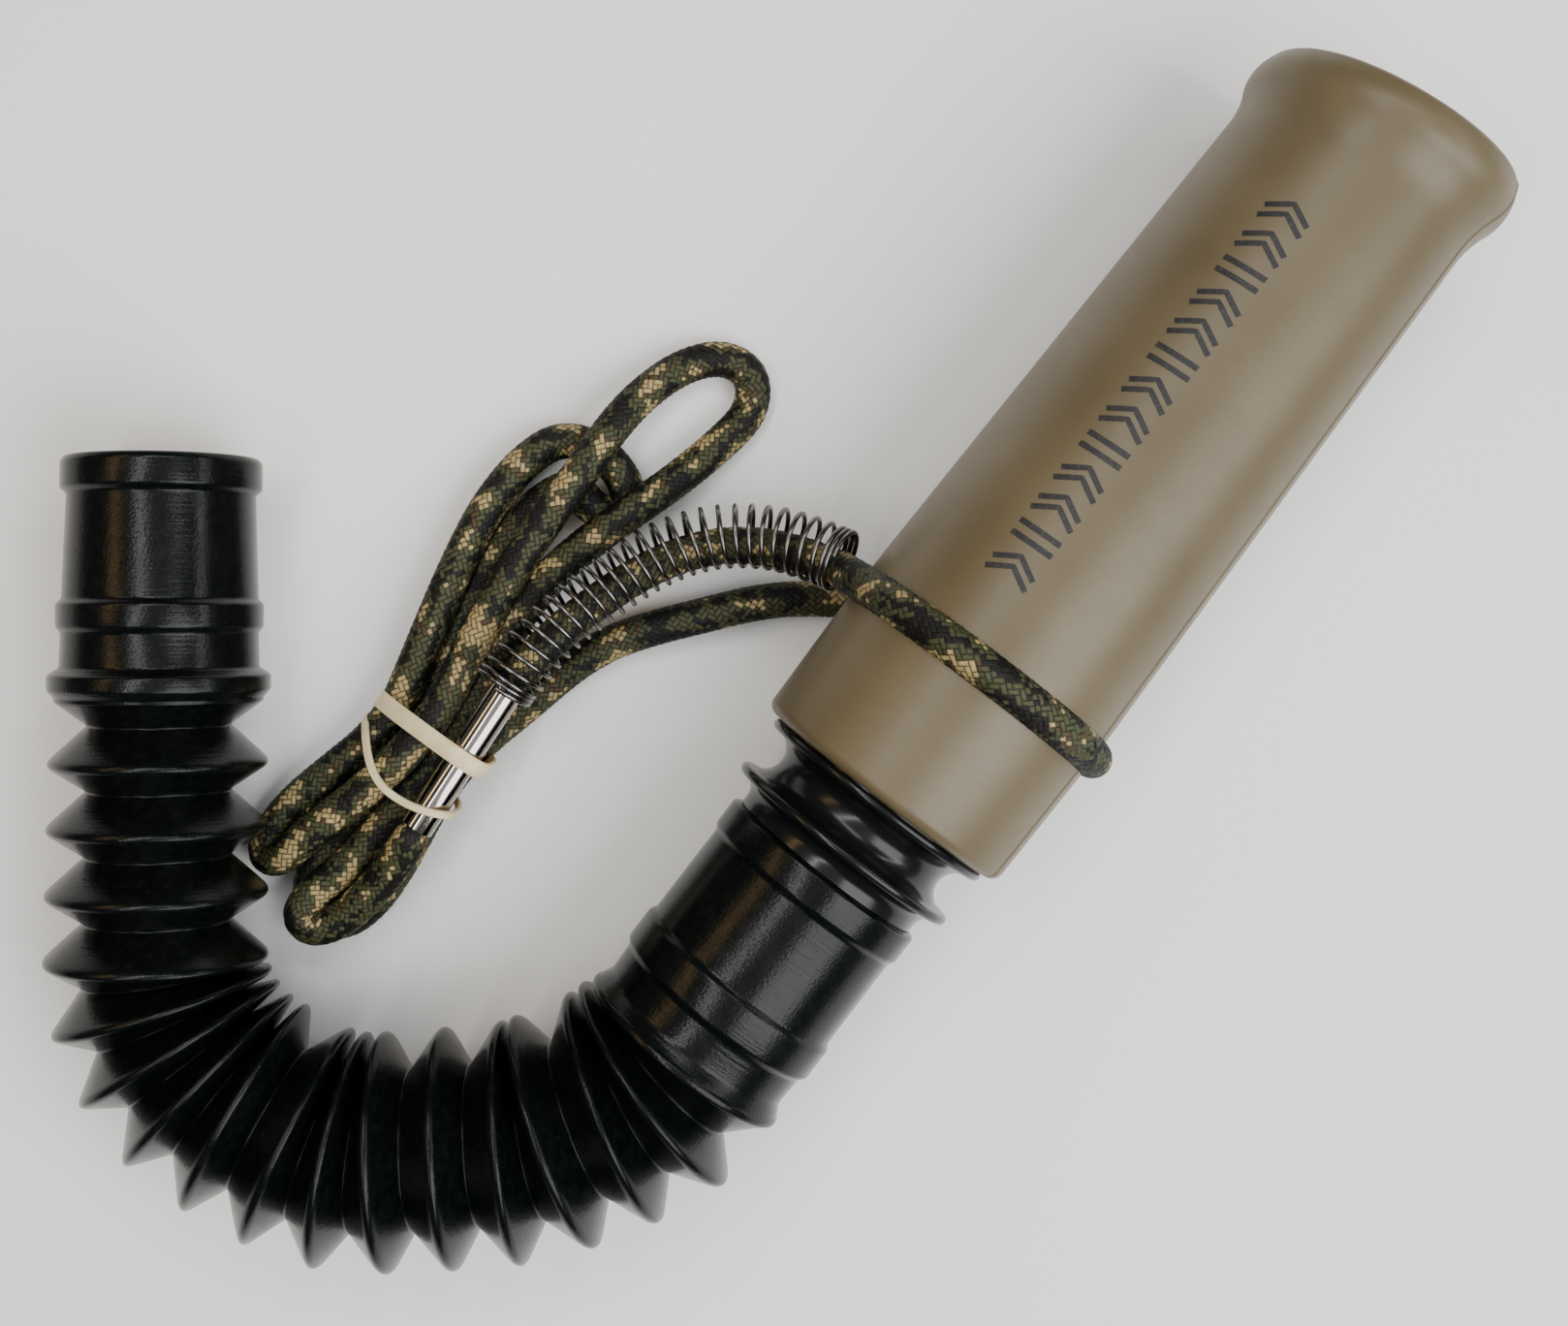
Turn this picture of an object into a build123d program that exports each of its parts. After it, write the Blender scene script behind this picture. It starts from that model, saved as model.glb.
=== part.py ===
"""Hand-blown deer grunt call: rigid barrel with a reed insert, a pleated hose on a swivelling adapter,
and a braided lanyard folded into a hank. Millimetres, +Z up, barrel axis along X, mouth end at +X."""
from build123d import *
import os
from math import cos, radians, sin, tan

os.makedirs("parts", exist_ok=True)

# ------------------------------------------------------------------ driving dimensions
# Where the call lies: the ground is Z = 0 and the origin is under the middle of its outline.
BACK_X = -6.55           # hose end of the barrel
AXIS_Y = -47.65          # barrel axis
AXIS_Z = 20.6            # barrel axis above the ground: it rests on the lanyard wrap

# Barrel, measured along its axis from the hose end
BARREL_LENGTH = 115.0
BARREL_R = 19.45         # widest plain radius, at the lanyard groove
BACK_R = 19.1            # radius at the hose end
WAIST_X = 102.0
WAIST_R = 17.6
LIP_R = 19.2
MOUTH_R = 16.3           # opening inside the lip
BACK_EDGE = 1.6          # rounding of the hose end
GROOVE_X = 21.0          # middle of the lanyard groove
BORE_R = 14.5
SOCKET_R = 16.2          # counterbore for the hose adapter
SOCKET_DEPTH = 13.2
POCKET_R = 15.0          # pocket for the reed insert
POCKET_START = 94.0
POCKET_END = 108.0

# Reed insert
INSERT_R = 14.85
INSERT_BACK = 95.0
INSERT_FRONT = 107.0
BLOW_R = 4.5             # blowing hole
TUBE_R = 6.8             # outside of the socket that clamps the tone board
TUBE_BACK = 86.0
BOARD_R = 4.9
BOARD_TIP = 50.0
BOARD_FLAT = 0.8         # height of the flat above the axis
CHANNEL_WIDTH = 4.4
REED_WIDTH = 7.5
REED_THICK = 0.25
REED_GAP = 0.15
REED_TIP = 52.0
BAND_X = 80.0            # tuning band at rest
SEAL_WIRE = 0.85         # cord radius of the insert's seals
SEAL_STATIONS = (98.5, 103.5)

# Hose adapter
TAIL_R = 12.3            # stub inside the hose cuff
TAIL_END = -34.6
ADAPTER_BORE = 9.0

# Hose: pleats are numbered from 1 beside the end cuff to 16 beside the root cuff
PLEATS = 16
FAR_FLANK = 5.15         # crest to valley, on the side of the end cuff, with the hose straight
NEAR_FLANK = 3.75        # valley to crest, on the side of the root
HOSE_WALL = 1.0
CREST_WALL = 1.6
CREST_EDGE = 0.9         # width of a crest's rim
PLEAT_GAP = 0.3          # clearance between neighbouring rigid pleats
FLANGE_X = -43.5         # root flange, where the pleats start
HOSE_TILT = 3.6          # the hose leans from the barrel axis down to the ground
BENDS = {16: 15, 15: 14, 14: 1.5, 13: 15, 12: 2, 11: 1.5, 10: 14, 9: 15,
         8: 4, 7: 14.5, 6: 14.5, 5: 15.5, 4: 16, 3: 0, 2: 0, 1: 0}

# Lanyard
CORD_D = 5.0
WRAP_R = 19.3            # centreline of the wrap round the barrel
SPRING_R = 4.6
SPRING_WIRE = 0.7
SPRING_LIFT = 1.3        # the cord lies low in the spring
FERRULE_R = 2.35
BAND_WIDTH = 1.2
BAND_THICK = 0.8
BAND_SIZE = (20.0, 16.8)  # outside of the band, across the hank and up


def crest_radius(k):
    return 14.6 + 0.1 * k


def valley_radius(k):
    """Radius of the valley on the root side of pleat k."""
    return 9.7 + 0.075 * k


# ------------------------------------------------------------------ frames
# side: x along the barrel axis, y the radius. Profiles are drawn there and turned about barrel_axis.
side = Plane(origin=(BACK_X, AXIS_Y, AXIS_Z), x_dir=(1, 0, 0), z_dir=(0, -1, 0))
barrel_axis = Axis(side.origin, side.x_dir)
hose_plane = Plane(origin=side.origin, x_dir=(1, 0, 0),
                   z_dir=(0, sin(radians(HOSE_TILT)), cos(radians(HOSE_TILT))))


def direction(heading):
    """Direction in the hose plane, from its heading in degrees."""
    return hose_plane.x_dir * cos(radians(heading)) + hose_plane.y_dir * sin(radians(heading))


def section(place, heading):
    """Plane square to the hose at a place in the hose plane."""
    return Plane(origin=hose_plane.from_local_coords((place[0], place[1], 0)),
                 x_dir=hose_plane.z_dir, z_dir=direction(heading))


def hose_sections():
    """Sections at each crest and at the valley on its root side, from the root flange outward."""
    crests, valleys = {}, {}
    x, y, heading = FLANGE_X, 0.0, 180.0
    far_share = FAR_FLANK / (FAR_FLANK + NEAR_FLANK)
    for k in range(PLEATS, -1, -1):
        bend = BENDS.get(k, 0)
        far_turn, near_turn = bend * far_share, bend * (1 - far_share)
        reach = FAR_FLANK - valley_radius(k) * tan(radians(far_turn))
        x += reach * cos(radians(heading))
        y += reach * sin(radians(heading))
        valleys[k] = section((x, y), heading - far_turn)
        heading -= bend
        reach = NEAR_FLANK - valley_radius(k) * tan(radians(near_turn))
        x += reach * cos(radians(heading))
        y += reach * sin(radians(heading))
        crests[k] = section((x, y), heading)
    return crests, valleys


crests, valleys = hose_sections()
root_flange = section((FLANGE_X, 0), 180)


def save(builder, label):
    builder.part.label = label
    export_step(builder.part, f"parts/{label}.step")


def barrel_ring(station, centre_radius, wire_radius, label):
    """Torus about the barrel axis, such as a seal."""
    with BuildPart() as ring:
        with BuildSketch(side):
            with Locations((station, centre_radius)):
                Circle(wire_radius)
        revolve(axis=barrel_axis)
    save(ring, label)


# ------------------------------------------------------------------ barrel
with BuildPart() as barrel_shell:
    with BuildSketch(side):
        with BuildLine():
            Polyline((0, SOCKET_R), (0, BACK_R - BACK_EDGE))
            RadiusArc((0, BACK_R - BACK_EDGE), (BACK_EDGE, BACK_R), BACK_EDGE)
            Polyline((BACK_EDGE, BACK_R), (GROOVE_X, BARREL_R), (WAIST_X, WAIST_R))
            ThreePointArc((WAIST_X, WAIST_R), (105.8, 17.95), (108.8, 18.9))
            ThreePointArc((108.8, 18.9), (111.2, LIP_R), (113.6, 18.6))
            ThreePointArc((113.6, 18.6), (114.7, 17.9), (BARREL_LENGTH, 17.1))
            Polyline((BARREL_LENGTH, 17.1), (BARREL_LENGTH, MOUTH_R + 0.4), (114.2, MOUTH_R),
                     (POCKET_END, POCKET_R + 0.2), (POCKET_END - 0.4, POCKET_R),
                     (POCKET_START, POCKET_R), (POCKET_START, BORE_R - 0.5),
                     (SOCKET_DEPTH, BORE_R), (SOCKET_DEPTH, SOCKET_R), (0, SOCKET_R))
        make_face()
    revolve(axis=barrel_axis)
    with BuildSketch(side):
        with Locations((GROOVE_X, WRAP_R)):
            Circle(CORD_D / 2 + 0.05)
    revolve(axis=barrel_axis, mode=Mode.SUBTRACT)
save(barrel_shell, "barrel_shell")

# ------------------------------------------------------------------ reed insert
with BuildPart() as mouth_insert:
    with BuildSketch(side):
        with BuildLine():
            Polyline((INSERT_FRONT, BLOW_R + 1.5), (INSERT_FRONT, INSERT_R - 0.8),
                     (INSERT_FRONT - 0.8, INSERT_R), (INSERT_BACK, INSERT_R), (INSERT_BACK, TUBE_R),
                     (TUBE_BACK, TUBE_R), (TUBE_BACK, BOARD_R + 0.1), (INSERT_BACK, BOARD_R + 0.1),
                     (INSERT_BACK, BLOW_R), (INSERT_FRONT - 1.5, BLOW_R),
                     (INSERT_FRONT, BLOW_R + 1.5))
        make_face()
        for station in SEAL_STATIONS:
            with Locations((station, INSERT_R)):
                Rectangle(2.2, 3.3, mode=Mode.SUBTRACT)
    revolve(axis=barrel_axis)
save(mouth_insert, "mouth_insert")

for name, station in zip(("insert_seal_rear", "insert_seal_front"), SEAL_STATIONS):
    barrel_ring(station, POCKET_R - SEAL_WIRE - 0.05, SEAL_WIRE, name)


def barrel_section(station):
    """Plane square to the barrel axis: x towards +Y, y up, and z towards the mouth."""
    return Plane(origin=(BACK_X + station, AXIS_Y, AXIS_Z), x_dir=(0, 1, 0), z_dir=(1, 0, 0))


with BuildPart() as tone_board:
    with BuildSketch(barrel_section(BOARD_TIP)):
        Circle(BOARD_R)
        with Locations((0, BOARD_FLAT + BOARD_R)):
            Rectangle(2 * BOARD_R, 2 * BOARD_R, mode=Mode.SUBTRACT)
    extrude(amount=INSERT_BACK - 0.5 - BOARD_TIP)
    with BuildSketch(barrel_section(BOARD_TIP + 3)):
        with Locations((0, BOARD_FLAT)):
            Rectangle(CHANNEL_WIDTH, 5.0)
    extrude(amount=INSERT_BACK, mode=Mode.SUBTRACT)
save(tone_board, "tone_board")

REED_BOTTOM = BOARD_FLAT + REED_GAP
with BuildPart() as reed:
    with BuildSketch(barrel_section(REED_TIP)):
        with Locations((0, REED_BOTTOM + REED_THICK / 2)):
            Rectangle(REED_WIDTH, REED_THICK)
    extrude(amount=TUBE_BACK - 0.2 - REED_TIP)
    fillet(reed.edges().filter_by(Axis.Z).group_by(Axis.X)[0], radius=2.5)
save(reed, "reed")

with BuildPart() as reed_wedge:
    with BuildSketch(barrel_section(TUBE_BACK + 0.2)):
        Circle(BOARD_R)
        with Locations((0, REED_BOTTOM + REED_THICK - BOARD_R)):
            Rectangle(2 * BOARD_R, 2 * BOARD_R, mode=Mode.SUBTRACT)
    extrude(amount=INSERT_BACK - TUBE_BACK - 0.8)
save(reed_wedge, "reed_wedge")

barrel_ring(BAND_X, BOARD_R + 1.0, 0.7, "reed_band")

# ------------------------------------------------------------------ hose adapter
SEAL_GROOVE = (5.4, 7.6)
SPIGOT_R = SOCKET_R - 0.25
with BuildPart() as hose_adapter:
    with BuildSketch(side):
        with BuildLine():
            Polyline((12.0, ADAPTER_BORE), (12.0, SPIGOT_R - 0.7), (11.3, SPIGOT_R),
                     (SEAL_GROOVE[1], SPIGOT_R), (SEAL_GROOVE[1], 14.6), (SEAL_GROOVE[0], 14.6),
                     (SEAL_GROOVE[0], SPIGOT_R), (-0.2, SPIGOT_R), (-0.2, 16.8))
            ThreePointArc((-0.2, 16.8), (-0.8, 17.1), (-1.5, 16.5))
            ThreePointArc((-1.5, 16.5), (-4.5, 13.15), (-7.5, 16.4))
            ThreePointArc((-7.5, 16.4), (-8.3, 17.05), (-8.9, 16.3))
            ThreePointArc((-8.9, 16.3), (-9.8, 14.4), (-11.0, 14.0))
            Polyline((-11.0, 14.0), (-12.1, 14.0), (-12.1, TAIL_R), (TAIL_END + 0.7, TAIL_R),
                     (TAIL_END, TAIL_R - 0.7), (TAIL_END, ADAPTER_BORE), (12.0, ADAPTER_BORE))
        make_face()
    revolve(axis=barrel_axis)
save(hose_adapter, "hose_adapter")

barrel_ring(sum(SEAL_GROOVE) / 2, 15.4, 0.75, "adapter_seal")

# ------------------------------------------------------------------ hose, root cuff
ROOT_CUFF = [(-12.2, 14.3), (-12.6, 15.05), (-16.4, 15.05), (-17.2, 14.5), (-30.6, 14.55),
             (-31.4, 15.1), (-35.8, 15.1), (-36.6, 14.4), (-40.8, 14.2), (-42.4, 15.0)]
FLANGE_R = 15.4
with BuildPart() as cuff_root:
    with BuildSketch(side):
        with BuildLine():
            Polyline(*ROOT_CUFF, (FLANGE_X + 0.45, FLANGE_R), (FLANGE_X, FLANGE_R),
                     (FLANGE_X, FLANGE_R - CREST_WALL), (-40.5, TAIL_R), (-12.2, TAIL_R),
                     ROOT_CUFF[0])
        make_face()
    revolve(axis=barrel_axis)
    last = valleys[PLEATS].offset(-PLEAT_GAP / 2)
    with BuildSketch(root_flange):
        Circle(FLANGE_R)
    with BuildSketch(last):
        Circle(valley_radius(PLEATS))
    loft(ruled=True)
    with BuildSketch(root_flange):
        Circle(FLANGE_R - CREST_WALL)
    with BuildSketch(last):
        Circle(valley_radius(PLEATS) - HOSE_WALL)
    loft(ruled=True, mode=Mode.SUBTRACT)
save(cuff_root, "cuff_root")


# ------------------------------------------------------------------ hose, pleats
def pleat(k):
    """Pleat k. The ones that slide are open towards the root, so that they close up like cups."""
    start = valleys[k].offset(PLEAT_GAP / 2)
    end = valleys[k - 1].offset(-PLEAT_GAP / 2)
    nests = BENDS[k] == 0
    with BuildPart() as ring:
        if not nests:
            with BuildSketch(start):
                Circle(valley_radius(k))
        for edge in (-CREST_EDGE / 2, CREST_EDGE / 2):
            with BuildSketch(crests[k].offset(edge)):
                Circle(crest_radius(k))
        with BuildSketch(end):
            Circle(valley_radius(k - 1))
        loft(ruled=True)
        if nests:
            with BuildSketch(crests[k].offset(-CREST_EDGE / 2)):
                Circle(crest_radius(k) - HOSE_WALL)
        else:
            with BuildSketch(start):
                Circle(valley_radius(k) - HOSE_WALL)
            with BuildSketch(crests[k]):
                Circle(crest_radius(k) - CREST_WALL)
        with BuildSketch(end):
            Circle(valley_radius(k - 1) - HOSE_WALL)
        loft(ruled=True, mode=Mode.SUBTRACT)
    return ring


for k in range(1, PLEATS + 1):
    save(pleat(k), f"pleat_{k:02d}")

# ------------------------------------------------------------------ hose, end cuff
# cuff_side: x along the hose towards its open end, from the last valley, and y the radius.
CUFF_LENGTH = 36.8
CUFF_BORE = 11.9
CUFF_BORE_DEPTH = 22.8
CUFF_THROAT = 11.4       # bore past the counterbore, towards the pleats
cuff_side = Plane(origin=valleys[0].origin, x_dir=valleys[0].z_dir, z_dir=valleys[0].x_dir)
# The first pleat closes up into the cuff's near end, as into the open side of a pleat.
END_CUFF = [(3.3, 14.0), (3.8, 14.0), (4.2, 14.4), (4.9, 15.0), (6.9, 15.0), (7.9, 13.4),
            (12.7, 13.25), (13.5, 13.9), (16.6, 13.95), (17.3, 13.2), (31.7, 12.7), (32.5, 13.6),
            (36.1, 13.6), (CUFF_LENGTH, 13.1)]
with BuildPart() as cuff_end:
    with BuildSketch(cuff_side):
        with BuildLine():
            Polyline(*END_CUFF, (CUFF_LENGTH, CUFF_BORE + 0.3), (CUFF_LENGTH - 0.3, CUFF_BORE),
                     (CUFF_LENGTH - CUFF_BORE_DEPTH, CUFF_BORE),
                     (CUFF_LENGTH - CUFF_BORE_DEPTH, CUFF_THROAT), (END_CUFF[0][0], CUFF_THROAT),
                     END_CUFF[0])
        make_face()
    revolve(axis=Axis(cuff_side.origin, cuff_side.x_dir))
save(cuff_end, "cuff_end")


# ------------------------------------------------------------------ lanyard
def at_barrel(points):
    """Points measured from the middle of the barrel's hose end, with Z above the ground."""
    return [Vector(BACK_X + x, AXIS_Y + y, z) for x, y, z in points]


def fillet_radii(points):
    """The largest arc that each corner of a cord's route allows."""
    radii = []
    for before, corner, after in zip(points, points[1:], points[2:]):
        turn = (corner - before).get_angle(after - corner)
        shorter = min((corner - before).length, (after - corner).length)
        radii.append(0.45 * shorter / tan(radians(turn / 2)))
    return radii


def cord(points, label, outer=CORD_D / 2, inner=0.0):
    """Tube along straight runs joined by tangent arcs."""
    radii = fillet_radii(points)
    with BuildPart() as tube:
        with BuildLine() as route:
            FilletPolyline(*points, radius=radii)
        with BuildSketch(Plane(origin=points[0], z_dir=points[1] - points[0])):
            Circle(outer)
            if inner:
                Circle(inner, mode=Mode.SUBTRACT)
        sweep()
    save(tube, label)
    length = sum(edge.length for edge in route.edges())
    area = 3.14159 * (outer * outer - inner * inner)
    print(label, "length", round(length, 1), "volume ratio", round(tube.part.volume / area / length, 4),
          "radii", [round(r, 1) for r in radii])


with BuildPart() as lanyard_wrap:
    with BuildSketch(side):
        with Locations((GROOVE_X, WRAP_R)):
            Circle(CORD_D / 2)
    revolve(axis=barrel_axis)
    split(bisect_by=Plane.XY, keep=Keep.TOP)
save(lanyard_wrap, "lanyard_wrap")

# Cord from the wrap through the spring into the ferrule
LEAD = at_barrel([(20.9, 22.7, 17.4), (19.7, 27.2, 15.2), (17.0, 32.6, 12.8), (12.2, 38.0, 11.6),
                  (5.4, 42.2, 11.4), (-2.6, 45.2, 12.0), (-10.8, 47.6, 13.6), (-19.0, 48.6, 14.2)])
FERRULE_START = at_barrel([(-19.5, 48.6, 14.2)])[0]
FERRULE_END = at_barrel([(-43.2, 46.9, 13.4)])[0]
# Cord from the wrap down to the hank
STRAND = at_barrel([(18.4, 21.0, 12.0), (15.2, 24.2, 7.8), (10.6, 28.0, 4.6), (4.8, 32.4, 3.2),
                    (-1.2, 37.2, 2.9), (-6.8, 41.0, 3.1), (-12.8, 43.4, 3.3)])
cord(LEAD, "lanyard_lead")
cord(STRAND, "lanyard_strand")
# The spring starts just off the wrap
SPRING_ROUTE = [LEAD[0] + (LEAD[1] - LEAD[0]) * 0.15] + LEAD[1:]
cord([p + Vector(0, 0, SPRING_LIFT) for p in SPRING_ROUTE], "cinch_spring", SPRING_R, SPRING_R - SPRING_WIRE)

with BuildPart() as ferrule:
    with BuildSketch(Plane(origin=FERRULE_START, z_dir=FERRULE_END - FERRULE_START)):
        Circle(FERRULE_R)
    extrude(amount=(FERRULE_END - FERRULE_START).length)
save(ferrule, "ferrule")

# Outer shape of the folded cord: a wide lower layer and a shorter upper one
LOWER_LAYER = [(-70.0, 53.0), (-62.0, 61.6), (-46.0, 62.4), (-40.0, 60.9), (-32.0, 60.9),
               (-16.0, 66.0), (2.0, 69.0), (15.0, 65.5), (18.0, 60.0), (36.0, 57.0), (39.0, 50.0),
               (35.0, 43.5), (20.0, 43.0), (4.0, 46.0), (-13.0, 46.4), (-14.0, 41.6), (-29.0, 45.5),
               (-40.0, 45.5), (-50.0, 44.0), (-64.0, 48.0)]
UPPER_LAYER = [(-52.0, 49.0), (-48.0, 57.6), (-40.0, 60.6), (-32.0, 60.6), (-20.0, 60.0),
               (-17.0, 55.0), (-18.0, 48.0), (-29.0, 45.8), (-44.0, 45.8)]
LAYER = 4.7
HANK_BOTTOM = 1.0
with BuildPart() as lanyard_hank:
    for level, outline in ((0, LOWER_LAYER), (1, UPPER_LAYER)):
        with BuildSketch(Plane.XY.offset(HANK_BOTTOM + level * LAYER)):
            with BuildLine():
                Polyline(*at_barrel([(x, y, 0) for x, y in outline]), close=True)
            make_face()
        extrude(amount=LAYER)
save(lanyard_hank, "lanyard_hank")

# Two turns of the rubber band, each a thin frame round the hank and the ferrule
with BuildPart() as rubber_band:
    for x in (-39.6, -34.2):
        with BuildSketch(barrel_section(x)):
            with Locations((53.3, 8.5 - AXIS_Z)):
                RectangleRounded(BAND_SIZE[0], BAND_SIZE[1], 2.8)
                RectangleRounded(BAND_SIZE[0] - 2 * BAND_THICK, BAND_SIZE[1] - 2 * BAND_THICK, 2.0,
                                 mode=Mode.SUBTRACT)
        extrude(amount=BAND_WIDTH)
save(rubber_band, "rubber_band")
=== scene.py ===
"""Looks of a hand-blown deer grunt call: satin barrel, pleated hose and braided lanyard, round the CAD frame.
Lengths in this script are millimetres, as in the CAD, and become metres where a mesh is made. +Z up."""
from math import ceil, cos, pi, radians, sin, tan

import bpy
import numpy as np
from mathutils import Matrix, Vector


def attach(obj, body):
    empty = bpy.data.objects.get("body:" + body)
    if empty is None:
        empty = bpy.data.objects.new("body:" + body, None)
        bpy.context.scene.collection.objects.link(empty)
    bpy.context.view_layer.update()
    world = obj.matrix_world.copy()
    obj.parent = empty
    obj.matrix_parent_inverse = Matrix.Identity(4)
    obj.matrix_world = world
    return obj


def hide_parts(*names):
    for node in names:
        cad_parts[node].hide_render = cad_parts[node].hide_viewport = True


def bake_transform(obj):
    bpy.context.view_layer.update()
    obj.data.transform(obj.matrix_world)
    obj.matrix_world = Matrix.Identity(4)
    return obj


MM = 0.001
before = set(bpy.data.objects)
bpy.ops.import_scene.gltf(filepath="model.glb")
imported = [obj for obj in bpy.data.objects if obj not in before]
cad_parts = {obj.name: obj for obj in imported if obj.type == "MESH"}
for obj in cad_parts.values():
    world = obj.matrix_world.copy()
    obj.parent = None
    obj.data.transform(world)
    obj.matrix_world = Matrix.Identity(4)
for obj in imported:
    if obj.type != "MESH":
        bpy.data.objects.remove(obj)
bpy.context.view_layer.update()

# ------------------------------------------------------------------ driving dimensions, as in the CAD
BACK_X, AXIS_Y, AXIS_Z = -6.55, -47.65, 20.6   # middle of the barrel's hose end
BARREL_LENGTH = 115.0
BARREL_R = 19.45
BACK_R = 19.1
BACK_EDGE = 1.6
WAIST_X, WAIST_R = 102.0, 17.6
LIP_R = 19.2
MOUTH_R = 16.3
GROOVE_X = 21.0
BORE_R = 14.5
SOCKET_R, SOCKET_DEPTH = 16.2, 13.2
POCKET_R, POCKET_START, POCKET_END = 15.0, 94.0, 108.0
WRAP_R = 19.3
ADAPTER_BORE = 9.0
TAIL_R, TAIL_END = 12.3, -34.6

PLEATS = 16
FAR_FLANK, NEAR_FLANK = 5.15, 3.75
FLANGE_X, FLANGE_R = -43.5, 15.4
HOSE_TILT = 3.6
# Turn at each valley in degrees, as in the CAD: fitted to the photograph's crests by a scratch script, then
# rounded. The flanks and FLANGE_X come from the same fit.
BENDS = {16: 15, 15: 14, 14: 1.5, 13: 15, 12: 2, 11: 1.5, 10: 14, 9: 15,
         8: 4, 7: 14.5, 6: 14.5, 5: 15.5, 4: 16, 3: 0, 2: 0, 1: 0}
# The body that each pleat rides on. 17 stands for the root cuff and 0 for the end cuff.
PLEAT_BODY = {17: "hose_base", 16: "link_16", 15: "link_15", 14: "link_15", 13: "link_13", 12: "link_13",
              11: "link_13", 10: "link_10", 9: "link_09", 8: "link_09", 0: "end_cuff"}
PLEAT_BODY.update({k: f"link_{k:02d}" for k in range(1, 8)})

CORD_D = 5.0
BRAID_YARNS = 16     # each way round
BRAID_ROW = 1.1      # along the cord, from one row of picks to the next
PATCH_LENGTH = 5.0   # of the cord's colour patches
SPRING_R, SPRING_WIRE = 4.6, 0.7
FERRULE_R, FERRULE_WALL = 2.35, 0.3


def crest_radius(k):
    return 14.6 + 0.1 * k


def valley_radius(k):
    return 9.7 + 0.075 * k


# ------------------------------------------------------------------ frames and outlines
def unit(v):
    v = np.asarray(v, float)
    return v / np.linalg.norm(v, axis=-1, keepdims=True)


class Turning:
    """An axis that outlines turn about: angle 0 is at `across`, and grows towards along x across."""

    def __init__(self, origin, along, across):
        self.origin, self.along, self.across = np.array(origin, float), unit(along), unit(across)
        self.side = np.cross(self.along, self.across)

    def ring(self, x, radius, angles):
        out = np.outer(np.cos(angles), self.across) + np.outer(np.sin(angles), self.side)
        return self.origin + x * self.along + np.reshape(radius, (-1, 1)) * out


barrel_axis = Turning((BACK_X, AXIS_Y, AXIS_Z), (1, 0, 0), (0, 0, 1))
tilt_sin, tilt_cos = sin(radians(HOSE_TILT)), cos(radians(HOSE_TILT))
HOSE_NORMAL = np.array((0, tilt_sin, tilt_cos))
HOSE_Y = np.array((0, tilt_cos, -tilt_sin))


def heading_vector(heading):
    return np.array((cos(radians(heading)), 0, 0)) + sin(radians(heading)) * HOSE_Y


def hose_section(x, y, heading):
    return Turning(barrel_axis.origin + x * np.array((1, 0, 0)) + y * HOSE_Y,
                   heading_vector(heading), HOSE_NORMAL)


def hose_sections():
    """Sections at each crest and at the valley on its root side, from the root flange outward."""
    crests, valleys = {}, {}
    x, y, heading = FLANGE_X, 0.0, 180.0
    far_share = FAR_FLANK / (FAR_FLANK + NEAR_FLANK)
    for k in range(PLEATS, -1, -1):
        bend = BENDS.get(k, 0)
        far_turn, near_turn = bend * far_share, bend * (1 - far_share)
        reach = FAR_FLANK - valley_radius(k) * tan(radians(far_turn))
        x += reach * cos(radians(heading))
        y += reach * sin(radians(heading))
        valleys[k] = hose_section(x, y, heading - far_turn)
        heading -= bend
        reach = NEAR_FLANK - valley_radius(k) * tan(radians(near_turn))
        x += reach * cos(radians(heading))
        y += reach * sin(radians(heading))
        crests[k] = hose_section(x, y, heading)
    return crests, valleys


def arc(start, middle, end, steps=8):
    """Points of the circle through three points, from start to end."""
    (ax, ay), (bx, by), (cx, cy) = start, middle, end
    d = 2 * (ax * (by - cy) + bx * (cy - ay) + cx * (ay - by))
    a2, b2, c2 = ax * ax + ay * ay, bx * bx + by * by, cx * cx + cy * cy
    centre = complex((a2 * (by - cy) + b2 * (cy - ay) + c2 * (ay - by)) / d,
                     (a2 * (cx - bx) + b2 * (ax - cx) + c2 * (bx - ax)) / d)
    first, via, last = (complex(*p) - centre for p in (start, middle, end))
    turn = np.angle(last / first)
    if np.angle(via / first) * turn < 0 or abs(np.angle(via / first)) > abs(turn):
        turn -= np.sign(turn) * 2 * pi
    points = [centre + first * np.exp(1j * turn * i / steps) for i in range(steps + 1)]
    return [(p.real, p.imag) for p in points]


def softened(points, cut, steps=4):
    """Closed outline with each corner replaced by a small curve that starts `cut` before it."""
    points = [np.array(p, float) for p in points]
    result = []
    for before, corner, after in zip(points[-1:] + points[:-1], points, points[1:] + points[:1]):
        a, b = before - corner, after - corner
        reach = min(cut, 0.4 * np.linalg.norm(a), 0.4 * np.linalg.norm(b))
        start, end = corner + unit(a) * reach, corner + unit(b) * reach
        for t in np.linspace(0, 1, steps + 1):
            result.append((1 - t) ** 2 * start + 2 * t * (1 - t) * corner + t * t * end)
    return result


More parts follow.
